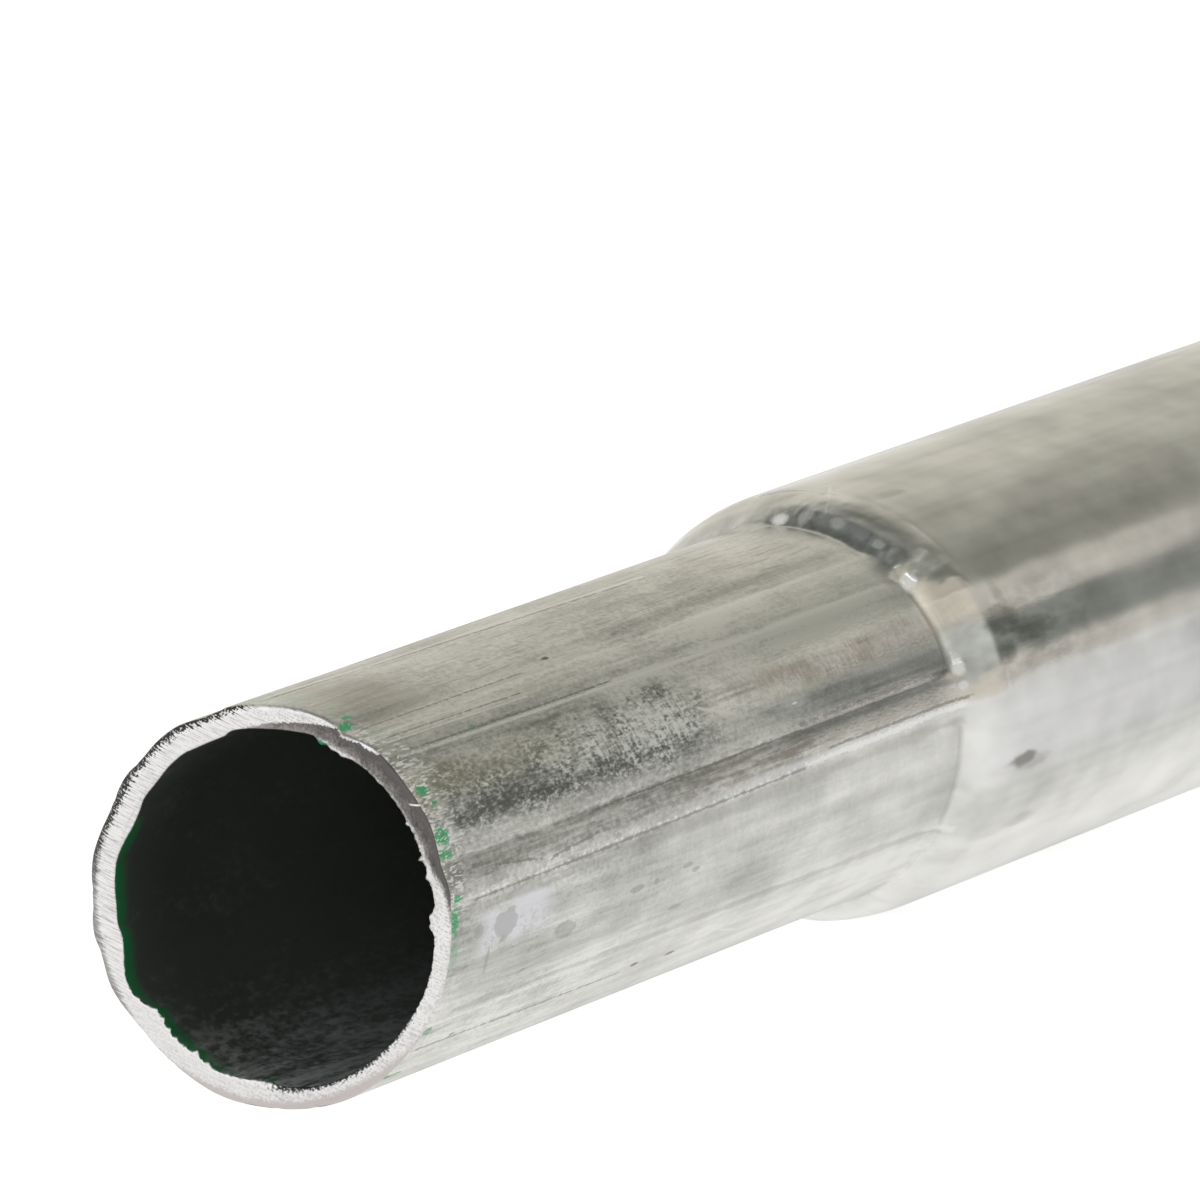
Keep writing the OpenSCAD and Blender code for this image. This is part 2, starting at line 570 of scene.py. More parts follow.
def pressPipe(piece):
    # each point keeps its share of the wall while the dies and the saw shape it
    rims = {}
    for vertex in piece.data.vertices:
        s = (vertex.co.x - endX) / mm
        if s > pipe["detailEnd"]:
            continue
        outer, inner = sectionPair(s)
        across = -vertex.co.y / mm
        height = (vertex.co.z - axisHeight) / mm
        theta = math.degrees(math.atan2(height, across))
        side = round(theta, 2)
        if side not in rims:
            rims[side] = (roundTrip(theta, rimOutside), roundTrip(theta, rimInside))
        share = (outer - math.hypot(across, height)) / (outer - inner)
        radius = 0.0
        if share < 0.999:
            radius += outerRadius(s, theta, outer, rims[side][0]) * (1 - share)
        if share > 0.001:
            radius += innerRadius(s, theta, inner, rims[side][1]) * share
        if s < 3:
            vertex.co.x += cutDepth(theta, share) * (1 - ease(s, 0.3, 3)) * mm
        vertex.co.y = -radius * math.cos(math.radians(theta)) * mm
        vertex.co.z = axisHeight + radius * math.sin(math.radians(theta)) * mm
    print("dies pressed")


# the pipe's finishes

zinc = {
    "dark": (0.36, 0.36, 0.345, 1),
    "light": (0.94, 0.94, 0.925, 1),
    "pale": (0.97, 0.975, 0.98, 1),
    "grit": (0.13, 0.14, 0.13, 1),
    "chalk": (0.86, 0.885, 0.88, 1),
    "stain": (0.29, 0.29, 0.27, 1),
    "brown": (0.34, 0.295, 0.235, 1),
    "olive": (0.56, 0.54, 0.41, 1),
    "spot": (0.09, 0.075, 0.055, 1),
    "smudge": (0.115, 0.09, 0.065, 1),
    "lavender": (0.84, 0.84, 0.91, 1),
    "paint": (0.06, 0.47, 0.20, 1),
    "tubeGloss": 0.14,
    "swageGloss": 0.36,
}

# grey patches: mm from the cut, degrees, half length, half width in degrees
greyPatches = [(9.2, -4, 1.9, 4.8), (19.4, -13.5, 1.9, 2.6), (30.8, -9.7, 1.3, 1.1), (39.2, -8.4, 0.8, 0.8),
               (40.6, -10.6, 0.7, 0.9), (38.5, -20.8, 1.1, 0.8), (4.6, -4, 0.7, 1.8), (34, -9.8, 0.35, 0.9),
               (27.5, 8, 0.55, 0.8), (6.6, -14, 0.3, 4.0)]

# dark spots on the zinc, in the same order, and the soft smudges and stains on the tube
darkSpots = [(37, -40.5, 0.6, 0.7), (43.4, -42, 0.8, 0.6), (33, 67, 0.6, 0.6), (6.7, -39.4, 0.4, 0.5)]
smudges = [(93.8, -10.9, 2.7, 2.1)]
faintSmudges = [(96.2, -12.4, 2.6, 1.7), (97.8, -31.2, 2.6, 1.9), (95.6, 75, 2.0, 1.7),
                (94.6, 33.5, 0.8, 4.0)]
tubeStains = [(93.6, 27, 2.6, 4.0), (98.0, 22.5, 3.4, 3.2), (92.6, 19, 1.6, 3.0)]

# painted glints: bright flecks, in the same order, where the lands' corners meet the ribs; and duller flecks
# on the shoulder
glintSpots = [(86.5, 48, 0.6, 2.2), (86.6, 18.8, 0.5, 2.0), (86.5, 13.8, 0.4, 1.3), (86.5, 93, 0.6, 2.4),
             (60, 26, 0.5, 0.4)]
dullFlecks = [(87.2, 86, 1.0, 2.0), (87.3, 76, 0.5, 2.0), (87.2, 62, 0.4, 1.6), (60, 26.2, 2.2, 1.4)]

# flecks of paint, in the same order
paintSpots = [(0.6, 1.5, 0.7, 4.0), (1.2, 7.4, 0.7, 1.0), (1.0, 20.5, 1.1, 1.6), (1.2, 25.5, 1.1, 2.6),
              (2.2, 35, 0.5, 0.7), (1.6, 39.5, 0.8, 1.8), (1.2, 68.0, 1.1, 1.2), (2.4, 70.5, 0.8, 0.8),
              (14.5, 52.4, 0.4, 0.6), (0.9, -33, 0.6, 1.3), (1.4, -52, 1.6, 1.0)]
faintPaint = [(2.4, 74, 1.2, 2.5), (2.3, 87, 1.3, 4.0), (2.8, 99, 2.2, 6.0), (3.2, 61, 1.2, 3.0),
              (0.8, -8, 0.7, 6.0)]

# lines of painted highlight and painted shade along the pipe: start and end in mm from the cut, degrees at
# start and end, half width in degrees
ridgeHighlightLines = [(3, 66, 50.9, 49.3, 0.7), (3, 24, 56.4, 55.8, 0.35), (3, 60, 97.5, 89.5, 0.9)]
creaseShadeLines = [(4, 66, 5.4, 7.1, 0.45), (2, 28, 65.3, 64.6, 0.4), (8.5, 14.5, 12.5, 10.2, 0.6),
               (6, 36, 52.0, 51.3, 0.3)]
highlightLines = [(3, 20, 60.4, 60.0, 0.25), (46, 50, 33.8, 29.5, 0.7), (51.8, 54.5, -40.5, -42.8, 0.6),
             (60, 86, 7.4, 8.4, 1.1), (88.2, 92.6, 81.6, 88.0, 0.5),
             (86.3, 86.8, -29.6, -29.6, 1.0)]
glintBeadLines = [(5, 66, 6.3, 8.0, 0.7)]
shadeLines = [(4, 24, 58.2, 57.6, 0.3), (17, 24, 9.2, 11.0, 0.6), (4, 60, 95.8, 88.0, 0.6),
             (26, 60, 17.6, 18.0, 0.4), (2, 34, -40.6, -41.6, 0.4), (60, 86, 19.4, 19.4, 1.0),
             (64, 86, 10.2, 10.3, 0.45)]
softShadeLines = [(2, 86, 2.6, 4.0, 2.0), (4, 86, -28.2, -30.6, 1.5), (58, 86, 16.5, 16.0, 1.5)]


def pipePlaces(wire):
    place = wire.node("ShaderNodeTexCoord", out="Object")
    along, side, height = wire.split(place)
    s = (along - endX) * 1000
    across = side * -1000
    rise = (height - axisHeight) * 1000
    theta = wire.maths("ARCTAN2", rise, across) * (180 / math.pi)
    radius = (across * across + rise * rise).power(0.5)
    flat = wire.node("ShaderNodeCombineXYZ", None, {0: s, 1: theta, 2: 1.0})
    return place, flat, s, theta, radius


# noise with its own scale along the pipe and around it, per metre
def grain(wire, place, along, around, detail=2.0, shift=0.0, harsh=0.5):
    moves = {0: place, 1: (along, around, around), 2: (shift, shift, shift)}
    spread = wire.node("ShaderNodeVectorMath", {"operation": "MULTIPLY_ADD"}, moves)
    sockets = {"Vector": spread, "Scale": 1.0, "Detail": detail, "Roughness": harsh}
    return wire.node("ShaderNodeTexNoise", None, sockets)


# 1 between two angles and two places along the pipe, each with its own softness
def zone(s, theta, first, last, softTurn, start, end, softEnds):
    return theta.between(first, last, softTurn) * s.between(start, end, softEnds)


def spotMask(flat, spots, ragged, sharp=0.3):
    nearest = 9.0
    for at, turn, reach, spread in spots:
        sockets = {0: flat, 1: (1 / reach, 1 / spread, 0), 2: (-at / reach, -turn / spread, 0)}
        moved = flat.node("ShaderNodeVectorMath", {"operation": "MULTIPLY_ADD"}, sockets)
        away = flat.node("ShaderNodeVectorMath", {"operation": "LENGTH"}, {0: moved}, "Value")
        nearest = away.smaller(nearest)
    return 1 - (nearest * nearest + ragged).ease(1 - sharp, 1 + sharp)


def lineMask(flat, lines, ragged):
    nearest = 9.0
    for start, end, first, last, half in lines:
        slope = (last - first) / (end - start)
        across = {0: flat, 1: (-slope / half, 1 / half, (slope * start - first) / half)}
        along = {0: flat, 1: (1.25, 0, -0.625 * (start + end))}
        away = flat.node("ShaderNodeVectorMath", {"operation": "DOT_PRODUCT"}, across, "Value").absolute()
        past = flat.node("ShaderNodeVectorMath", {"operation": "DOT_PRODUCT"}, along, "Value").absolute()
        nearest = away.larger(past - 0.625 * (end - start)).smaller(nearest)
    return 1 - (nearest + ragged).ease(0.2, 1.1)


class Skin:
    # where a point of the outside lies, and the grains of its zinc
    def __init__(self, wire):
        place, self.flat, self.s, self.theta, radius = pipePlaces(wire)
        self.streak = grain(wire, place, 16, 800, 1.0, 3.0)
        self.scratch = grain(wire, place, 150, 2800, 2.0, 9.0, 0.6)
        self.speck = grain(wire, place, 1500, 2800, 2.0, 1.0, 0.7)
        self.blotch = grain(wire, place, 200, 340, 2.0, 5.0)
        self.wave = grain(wire, place, 70, 150, 1.0, 2.0)
        self.hatch = grain(wire, place, 2600, 480, 1.0, 7.0)     # short strokes across the pipe
        self.glint = grain(wire, place, 1300, 5600, 0.0, 13.0)   # fine strokes along it
        self.fleck = grain(wire, place, 480, 1700, 2.0, 8.0, 0.6)
        self.cluster = grain(wire, place, 300, 520, 1.0, 11.0).ease(0.40, 0.60)
        self.onSwage = 1 - self.s.ease(85, 88)
        self.upper = self.theta.ease(4, 14)


def zincTone(skin):
    # streaks, scratches and mottle of the zinc itself, with painted light and painted shade in stretches and
    # bands
    s, theta, streak, scratch = skin.s, skin.theta, skin.streak, skin.scratch
    blotch, fleck = skin.blotch, skin.fleck
    lowCut = (1 - s.ease(22, 40)) * (1 - skin.upper)
    coarse = skin.onSwage * (0.35 + skin.upper * 0.65 + lowCut * 0.5) * (1 - s.ease(48, 84) * 0.5)
    tone = 0.58 + (streak - 0.5) * (0.38 + coarse * 0.62) + (blotch - 0.5) * 0.6
    tone = tone + (skin.wave - 0.5) * 0.8 + ((scratch - 0.5) * 1.1 + (skin.speck - 0.5) * 1.2) * coarse
    frontRib = zone(s, theta, 9.5, 20, 2.0, -4, 64, 5)
    ribGrain = (scratch * 0.8 + fleck * 0.3).ease(0.40, 0.68) * 0.66 - 0.1 + (streak - 0.5) * 1.2
    lowLand = zone(s, theta, -16, 9, 4, -4, 86, 1)
    lowTone = lowLand * ((skin.hatch - 0.5) * 0.12 - 0.08 + s.ease(22, 32) * 0.06)
    # painted light: the underside, the shoulder and the upper lands are painted brighter
    bright = zone(s, theta, -56, -24, 10, -5, 200, 1) * 0.24
    onShoulder = s.ease(85.9, 86.5) * (1 - s.ease(87.5, 95))
    bright = bright.larger(onShoulder * (0.3 - theta.between(3, 48, 4) * 0.28))
    bright = bright.larger(zone(s, theta, 40, 64, 3, 30, 84, 12) * 0.28)
    bright = bright.larger(zone(s, theta, 56, 100, 5, -5, 50, 16) * 0.16)
    bright = bright + zone(s, theta, 39, 51, 3, 34, 84, 10) * 0.22
    tubeMottle = zone(s, theta, 12, 34, 4, 89, 108, 6) * (blotch * 0.6 + fleck * 0.4 - 0.5) * 1.6
    # painted light and painted shade: the plain tube is painted darker and lighter in bands towards its far
    # part, and the shoulder's top darker
    paintedLightBands = zone(s, theta, 16, 26, 3, 112, 200, 8) * 0.26 - zone(s, theta, 0, 10, 4, 112, 200, 10) * 0.28
    paintedLightBands = paintedLightBands + zone(s, theta, 54, 70, 5, 106, 200, 10) * 0.14
    paintedLightBands = paintedLightBands - zone(s, theta, 39, 49, 3, 98, 124, 8) * 0.08
    paintedLightBands = paintedLightBands - zone(s, theta, 90, 120, 5, 85.5, 93, 2) * 0.2
    tone = tone - frontRib * ribGrain + lowTone + bright + tubeMottle + paintedLightBands
    return tone.mixColour(zinc["dark"], zinc["light"])


def addDirt(skin, colour):
    # olive and brown dirt on top near the cut, along the front rib and on its land
    s, theta, scratch, speck = skin.s, skin.theta, skin.scratch, skin.speck
    blotch, fleck = skin.blotch, skin.fleck
    oliveDirt = zone(s, theta, 50, 64, 3, 2, 30, 8) * skin.streak.ease(0.4, 0.62)
    colour = (oliveDirt * 0.45).mixColour(colour, zinc["olive"])
    topDirt = zone(s, theta, 64, 92, 6, 3, 14, 3) * (blotch * 0.7 + speck * 0.4).ease(0.42, 0.62)
    ribDirt = zone(s, theta + (fleck - 0.5) * 8, 11.5, 17.5, 2.5, 40, 62, 6)
    ribDirt = ribDirt.larger(zone(s, theta + (fleck - 0.5) * 6, 11, 15, 2.0, 58, 84, 6) * 0.6)
    ribDirt = ribDirt * (scratch * 0.6 + speck * 0.3 + fleck * 0.2).ease(0.42, 0.78)
    topScratch = zone(s, theta, 66, 100, 8, 2, 84, 8) * scratch.ease(0.52, 0.68)
    landGrain = (scratch * 0.3 + skin.hatch * 0.25 + blotch * 0.65).ease(0.5, 0.76)
    landDirt = zone(s, theta, 29, 39, 2.5, 56, 86, 6) * landGrain
    dirt = (topDirt * 0.38).larger(ribDirt * 0.8).larger(landDirt * 0.7).larger(topScratch * 0.5)
    return dirt.mixColour(colour, zinc["brown"]), dirt


def addGrit(skin, colour):
    # the front land is gritty near the cut, darkest along its foot, with chalky strokes further on
    s, theta, speck, blotch = skin.s, skin.theta, skin.speck, skin.blotch
    front = zone(s, theta + (blotch - 0.5) * 8, 22.5, 45, 3.5, 1, 46, 4)
    strokeTurn = theta + (speck - 0.5) * 8 + (skin.hatch - 0.5) * 12
    strokes = zone(s + (blotch - 0.5) * 14, strokeTurn, 29, 43, 3, 27, 45, 4)
    foot = zone(s, theta + (blotch - 0.5) * 10, 23, 29, 3, 4, 48, 5)
    nearCut = zone(s + (speck - 0.5) * 6, theta, 21, 46, 4, -4, 3.2, 1.4)
    grit = 0.36 + (speck - 0.5) * (1.1 + skin.cluster * 1.8) + (blotch - 0.5) * 0.9 - skin.cluster * 0.06
    grit = grit + (skin.streak - 0.5) * 0.6 + (skin.fleck - 0.5) * 0.6 + (skin.glint - 0.5) * 0.7
    grit = grit + strokes * (0.36 + (skin.hatch - 0.5) * 1.1) - foot * 0.03 + nearCut * 0.42
    gritColour = grit.ease(-0.1, 1.1).mixColour(zinc["grit"], zinc["chalk"])
    gritColour = (theta.between(36, 50, 4) * (1 - s.ease(18, 30)) * 0.35).mixColour(gritColour, zinc["olive"])
    return (front.larger(strokes).larger(nearCut) * 0.9).mixColour(colour, gritColour), front


def addPatches(skin, colour):
    # grey mottle and patches on the lower land, with bluish zinc around them
    s, theta, blotch = skin.s, skin.theta, skin.blotch
    rough = (skin.fleck - 0.5) * 1.6 + (blotch - 0.5) * 3.0
    lowMottle = zone(s, theta, -24, -3, 4, 3, 30, 4) * skin.speck.ease(0.46, 0.66)
    patches = spotMask(skin.flat, greyPatches, rough, 0.14)
    bluish = zone(s, theta, 7.5, 9.5, 1.0, 50, 90, 8) * 0.5
    bluish = bluish.larger(zone(s, theta + (blotch - 0.5) * 20, -11, 2, 2, 5.0, 16, 2) * 0.85)
    bluish = bluish.larger(zone(s, theta, -14, 8, 5, 88, 150, 5) * 0.4)
    colour = bluish.mixColour(colour, zinc["lavender"])
    return (lowMottle * 0.34).larger(patches * 0.44).mixColour(colour, zinc["stain"])


def cornerShade(skin):
    # painted shade in the corner under the shoulder, where the shoulder's top meets the ribs, along the front
    # rib's edge and over parts of the shoulder's crown
    s, theta, blotch = skin.s, skin.theta, skin.blotch
    corner = zone(s, theta, 18, 45, 1.5, 85.6, 86.1, 0.25)
    corner = corner + zone(s, theta, -29, 3, 1.5, 85.8, 86.2, 0.3) * 0.36
    corner = corner.larger(zone(s, theta, 17.4, 20.4, 0.7, 60, 85.5, 3) * 0.5)
    corner = corner.larger(zone(s, theta + (blotch - 0.5) * 6, 50, 57, 1.5, 84.4, 88.6, 1.0) * 0.7)
    corner = corner.larger(zone(s + (skin.fleck - 0.5) * 0.8, theta, 60, 92, 3, 85.9, 86.6, 0.3) * 0.6)
    corner = corner.larger(zone(s + (blotch - 0.5) * 3, theta, 49, 78, 4, 87.8, 92.2, 1.2) * 0.5)
    corner = corner.larger(zone(s, theta + (blotch - 0.5) * 4, 38.8, 47, 0.8, 87.0, 91.4, 0.8) * 0.65)
    return corner.larger(zone(s, theta, 30, 39, 1.0, 86.6, 91, 0.6) * 0.2)


def addMarks(skin, colour):
    # painted highlights along ridges and painted glints, painted shade along creases and in corners,
    # scratches, stains, smudges, spots and flecks of paint
    s, theta, flat, speck = skin.s, skin.theta, skin.flat, skin.speck
    blotch, fleck, glint = skin.blotch, skin.fleck, skin.glint
    broken = (skin.streak - 0.5) * 1.2 + (speck - 0.5) * 3.0
    uneven = (blotch - 0.5) * 2.0 + (fleck - 0.5) * 1.6

    # mottle on the shoulder's top, painted darker as painted shade, with pale flecks
    topMottle = zone(s + (fleck - 0.5) * 2, theta, 47, 96, 5, 86.0, 88.4, 0.6)
    mottleAndShade = topMottle * (blotch * 0.7 + fleck * 0.3).ease(0.40, 0.62)
    stains = spotMask(flat, tubeStains, uneven, 1.0)
    # painted shade along creases and lines on the lands
    soft = lineMask(flat, softShadeLines, (blotch - 0.5) * 2.0)
    dark = lineMask(flat, shadeLines, broken).larger(lineMask(flat, creaseShadeLines, broken))
    smears = spotMask(flat, smudges, uneven, 1.0).power(2.6)
    smears = smears.larger(spotMask(flat, faintSmudges, uneven, 1.0) * 0.35)
    spots = spotMask(flat, darkSpots, (speck - 0.5) * 2.0, 0.8)
    colour = (mottleAndShade * 0.6).mixColour(colour, zinc["grit"])
    colour = (stains * 0.55).mixColour(colour, zinc["grit"])
    # painted shade in the stain colour, which also colours the real grey patches
    shade = (soft * 0.30).larger(dark * 0.75).larger(cornerShade(skin) * 0.8)
    colour = shade.mixColour(colour, zinc["stain"])
    colour = (smears * 0.72).mixColour(colour, zinc["smudge"])
    colour = (spots * 0.8).mixColour(colour, zinc["spot"])

    # painted highlights: pale lines along ridges and crease edges, and beads of glints
    ridgeHighlights = lineMask(flat, ridgeHighlightLines, (speck - 0.5) * 3.2)
    glintBeads = lineMask(flat, glintBeadLines, (speck - 0.5) * 2.0) * speck.ease(0.5, 0.62)
    # pale specks near the cut, partly white oxide and partly painted glints
    paintedSparkle = zone(s + (blotch - 0.5) * 8, theta, 4, 68, 4, -4, 3.6, 2.0)
    paintedSparkle = paintedSparkle * (glint * 0.6 + fleck * 0.4).ease(0.54, 0.6)
    # painted glints where the lands' corners meet the ribs
    glintFlecks = spotMask(flat, glintSpots, (speck - 0.5) * 1.2, 1.0)
    dull = spotMask(flat, dullFlecks, uneven, 1.0)
    pale = (lineMask(flat, highlightLines, broken) * 0.7).larger(ridgeHighlights).larger(glintFlecks).larger(dull * 0.5)
    pale = pale.larger(glintBeads * 0.7).larger(paintedSparkle * 0.9)
    pale = pale.larger(topMottle * (blotch * 0.6 + fleck * 0.4).ease(0.54, 0.66) * 0.4)
    # a painted highlight along the foot of the shoulder
    pale = pale.larger(zone(s, theta, 17, 47, 1.0, 86.35, 86.55, 0.2) * 0.25)
    colour = pale.mixColour(colour, zinc["pale"])

    paint = spotMask(flat, paintSpots, (speck - 0.5) * 4.0 + (glint - 0.5) * 3.0, 0.6)
    paint = paint * (speck * 0.5 + glint * 0.5).ease(0.34, 0.46)
    faint = spotMask(flat, faintPaint, (speck - 0.5) * 3.0, 1.0)
    faint = faint * (speck * 0.6 + fleck * 0.5).ease(0.45, 0.68)
    paint = paint.larger(faint * 0.4)
    # the painted glints and sparkle are made non-metallic so that they stay white
    notMetal = (paint * 0.75).larger(paintedSparkle * 0.7).larger(glintFlecks * 0.95).larger(dull * 0.25)
    return paint.mixColour(colour, zinc["paint"]), notMetal


def zincSkin():
    material, wire, shader = newMaterial("zincSkin")
    skin = Skin(wire)
    colour, dirt = addDirt(skin, zincTone(skin))
    colour, front = addGrit(skin, colour)
    colour, notMetal = addMarks(skin, addPatches(skin, colour))
    wire.plug(shader.inputs["Base Color"], colour)
    wire.plug(shader.inputs["Metallic"], 1 - notMetal)

    glossy = skin.upper * skin.s.ease(50, 66) * 0.14
    gloss = zinc["tubeGloss"] + skin.onSwage * (zinc["swageGloss"] - zinc["tubeGloss"] - glossy)
    gloss = gloss + (skin.streak - 0.5) * 0.25 * skin.onSwage + front * 0.1 + dirt * 0.1
    wire.plug(shader.inputs["Roughness"], gloss + skin.s.ease(100, 135) * 0.07)

    # height in mm: waves on the tube, fine strokes on the swage, hammered top of the shoulder
    hammered = zone(skin.s, skin.theta, 42, 104, 6, 86, 91, 1.0)
    relief = skin.wave * (0.20 - skin.onSwage * 0.12) + skin.blotch * hammered * 0.35
    relief = relief + skin.glint * (0.001 + skin.onSwage * 0.005)
    bump = wire.node("ShaderNodeBump", None, {"Height": relief, "Distance": mm})
    wire.plug(shader.inputs["Normal"], bump)
    return material


sawn = {
    "bright": (1.0, 0.99, 1.0, 1),
    "groove": (0.56, 0.54, 0.55, 1),
    "smeared": (0.70, 0.65, 0.65, 1),
    "torn": (0.155, 0.146, 0.145, 1),
    "tornEdge": (0.42, 0.395, 0.395, 1),
    "filed": (0.06, 0.06, 0.062, 1),
    "filedGrey": (0.25, 0.24, 0.245, 1),
    "paint": (0.03, 0.36, 0.15, 1),
    "stroke": 160.0,             # degrees, the way that the saw's teeth ran across the cut
}

# how much of the wall, counted from outside, is smeared or torn, by degrees
tornStart = [(-150, 0.0), (-5, 0.0), (50, -0.2), (55, 0.0), (60, 0.11), (66.5, 0.3), (68.5, 0.06), (72, 0.2),
             (75, 0.28), (80, 0.43), (85, 0.56), (90, 0.68), (97, 0.85), (106, 1.1), (115, 1.1)]
tornEnd = [(-150, 0.0), (-130, 0.2), (-110, 0.4), (-90, 0.46), (-78, 0.52), (-64, 0.57), (-55, 0.53),
           (-48, 0.44), (-42, 0.36), (-37, 0.28), (-30, 0.22), (-5, 0.2), (3, 0.24), (8, 0.32), (12, 0.46),
           (16, 0.72), (22, 0.92), (28, 1.02), (64, 1.0), (70, 0.95), (78, 1.1), (90, 1.2), (115, 1.2)]
filedEnd = [(92, 0.0), (98, 0.24), (104, 0.34), (112, 0.46), (120, 0.40), (130, 0.46), (140, 0.54),
            (150, 0.56), (158, 0.56), (163, 0.44), (170, 0.34), (182, 0.34), (192, 0.30), (208, 0.28),
            (218, 0.2), (228, 0.0)]


def alongRim(wire, theta, stops):
    first = stops[0][0]
    span = stops[-1][0] - first
    lowest = min(value for degrees, value in stops)
    reach = max(value for degrees, value in stops) - lowest
    shares = [((degrees - first) / span, (value - lowest) / reach) for degrees, value in stops]
    turned = (theta - first) / span
    return wire.node("ShaderNodeValToRGB", {"stops": shares}, {"Fac": turned}) * reach + lowest


def sawnSteel():
    material, wire, shader = newMaterial("sawnSteel")
    place, flat, s, theta, radius = pipePlaces(wire)
    speck = grain(wire, place, 4600, 4600, 1.0)
    blotch = grain(wire, place, 700, 700, 2.0, 4.0)
    wave = grain(wire, place, 160, 160, 1.0, 2.0)
    # the saw's teeth left straight marks, all one way
    stroke = math.radians(sawn["stroke"])
    across = radius * wire.maths("COSINE", theta * (math.pi / 180) - stroke)
    beside = radius * wire.maths("SINE", theta * (math.pi / 180) - stroke)
    markPlace = wire.node("ShaderNodeCombineXYZ", None, {0: across * 0.6, 1: beside * 8.0})
    teeth = wire.node("ShaderNodeTexNoise", None, {"Vector": markPlace, "Scale": 1.0, "Detail": 1.0})
    swagedEnd = 1 - s.ease(100, 200)
    share = (landRadius - radius) / pipe["swageWall"]
    ragged = (blotch - 0.5) * 0.22 + (speck - 0.5) * 0.25
    start = alongRim(wire, theta, tornStart)
    end = alongRim(wire, theta, tornEnd)
    torn = (share + ragged - start).ease(-0.03, 0.05) * (1 - (share + ragged - end).ease(-0.22, 0.08))
    torn = torn * swagedEnd

    back = wire.maths("WRAP", theta, 360.0, 0.0)
    atBack = back.between(100, 205, 8)
    rubbed = back.between(200, 262, 10)
    grit = (teeth - 0.5) * (1.7 + atBack * 1.3) + (speck - 0.5) * (1.5 - atBack * 0.9)
    colour = (0.82 + grit * (1 - rubbed * 0.5)).mixColour(sawn["groove"], sawn["bright"])
    tornShade = share + (blotch - 0.5) * 1.2 + (speck - 0.5) * 0.9 + (wave - 0.5) * 0.9
    tornColour = tornShade.ease(0.3, 1.15).mixColour(sawn["torn"], sawn["tornEdge"])
    tornColour = theta.between(1, 97, 9).mixColour(sawn["smeared"], tornColour)
    colour = torn.mixColour(colour, tornColour)

    # a dark glittering bevel round the back, and dark flecks on the bore's edge at the bottom
    bevelShare = share + (teeth - 0.5) * 0.4 + (speck - 0.5) * 0.25 - alongRim(wire, back, filedEnd)
    bevel = (1 - bevelShare.ease(-0.3, 0.08)) * back.between(97, 222, 6)
    fringe = theta.between(-90, -6, 8) * (share + (teeth - 0.5) * 0.6).ease(0.66, 0.94)
    smutch = (theta.between(-98, -90, 2) + theta.between(-78, -72, 2)) * (1 - share.ease(0.06, 0.12))
    glitter = bevel.larger(fringe)
    filed = (glitter * 1.45 - (speck * 0.6 + teeth * 0.4).ease(0.38, 0.62)).ease(-0.1, 0.9)
    greyEdge = (1 - bevelShare.ease(-0.12, 0.1)) * back.between(160, 226, 10) * swagedEnd
    colour = (greyEdge * (0.5 + (speck - 0.5) * 1.6)).mixColour(colour, sawn["filedGrey"])
    filed = (filed * (1 - back.between(176, 232, 12) * 0.6)).larger(smutch * 0.8) * swagedEnd
    colour = filed.mixColour(colour, sawn["filed"])

    # a thin sliver over the outer edge, and paint that ran onto the cut
    sliverPlace = theta - 35.6 - (15.6 - radius) * 2.6
    sliver = (1 - sliverPlace.absolute().ease(0.1, 0.5)) * radius.between(14.8, 15.8, 0.1)
    paint = theta.between(70.6, 75.4, 0.6) * (share + (blotch - 0.5) * 0.4).ease(0.86, 0.94) * swagedEnd
    colour = sliver.mixColour(colour, sawn["bright"])
    colour = paint.mixColour(colour, sawn["paint"])
    wire.plug(shader.inputs["Base Color"], colour)
    wire.plug(shader.inputs["Metallic"], 1 - paint * 0.8)
    wire.plug(shader.inputs["Roughness"], 0.34 + torn * 0.1 + (blotch - 0.5) * 0.2)
    # height in mm
    relief = teeth * 0.015 * (1 - torn * 0.6) + speck * (0.008 + glitter * 0.03) + blotch * torn * 0.05
    bump = wire.node("ShaderNodeBump", None, {"Height": relief, "Distance": mm})
    wire.plug(shader.inputs["Normal"], bump)
    return material


bore = {
    "scale": (0.10, 0.115, 0.105, 1),
    "deepScale": (0.36, 0.39, 0.36, 1),
    "worn": (0.58, 0.605, 0.62, 1),
    "paint": (0.01, 0.18, 0.06, 1),
}

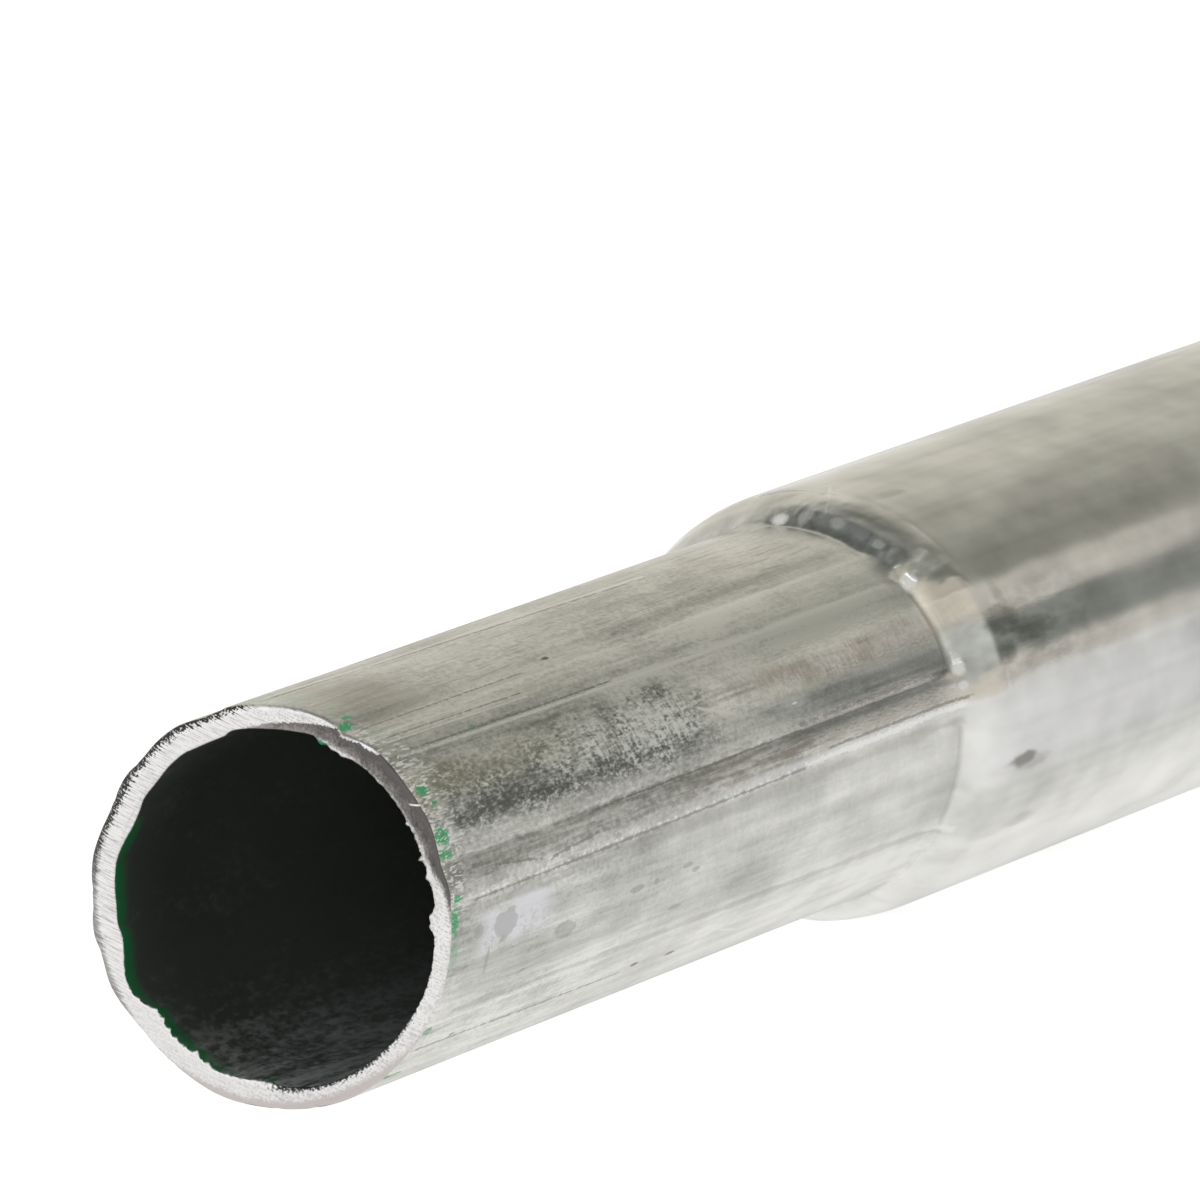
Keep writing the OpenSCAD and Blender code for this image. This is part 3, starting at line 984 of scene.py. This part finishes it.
# paint behind the cut edge: mm from the cut, degrees, half length, half width in degrees
borePaint = [(0.2, 163, 1.6, 9), (0.2, 176, 1.9, 9), (0.2, -176, 1.7, 8), (0.2, -156, 1.7, 16),
             (0.2, -128, 1.5, 22), (0.2, -91, 1.4, 1.2), (0.3, 72.5, 1.0, 2.2)]


def boreScale():
    material, wire, shader = newMaterial("boreScale")
    place, flat, s, theta, radius = pipePlaces(wire)
    streak = grain(wire, place, 70, 420, 2.0)
    speck = grain(wire, place, 800, 1700, 2.0, 6.0, 0.65)
    # worn patches, spread wider over the bottom of the bore, where they also stand for painted light
    low = theta.ease(-145, -100) * (1 - theta.ease(-50, -20))
    worn = (streak * 0.6 + speck * 0.8 + low * 0.24).ease(0.70, 1.12) * (0.22 + low * 0.78)
    # painted light: the scale is painted lighter deeper in the bore, where little light reaches
    colour = s.ease(6, 44).mixColour(bore["scale"], bore["deepScale"])
    colour = worn.mixColour(colour, bore["worn"])
    paint = spotMask(flat, borePaint, (speck - 0.5) * 1.6 + (streak - 0.5), 1.0) * (1 - s.ease(0.8, 2.8))
    colour = (paint * 0.95).mixColour(colour, bore["paint"])
    wire.plug(shader.inputs["Base Color"], colour)
    wire.plug(shader.inputs["Metallic"], 0.5 - paint * 0.5)
    shader.inputs["Roughness"].default_value = 0.5
    bump = wire.node("ShaderNodeBump", None, {"Height": speck * 0.05 + streak * 0.08, "Distance": mm})
    wire.plug(shader.inputs["Normal"], bump)
    return material


def finishPipe(piece):
    bpy.ops.object.select_all(action="DESELECT")
    piece.select_set(True)
    bpy.context.view_layer.objects.active = piece
    bpy.ops.object.shade_smooth_by_angle(angle=math.radians(40))
    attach(piece, "root")
    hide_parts("steel_pipe")
    print("pipe finished")


setCamera()
setWorld()
addFloor()
addSoftBoxes()
swagedPipe = turnPipe()
for finish in (zincSkin(), sawnSteel(), boreScale()):
    swagedPipe.data.materials.append(finish)
sortFaces(swagedPipe)
layBakeMap(swagedPipe)
pressPipe(swagedPipe)
finishPipe(swagedPipe)

bpy.context.scene.view_settings.view_transform = "Standard"
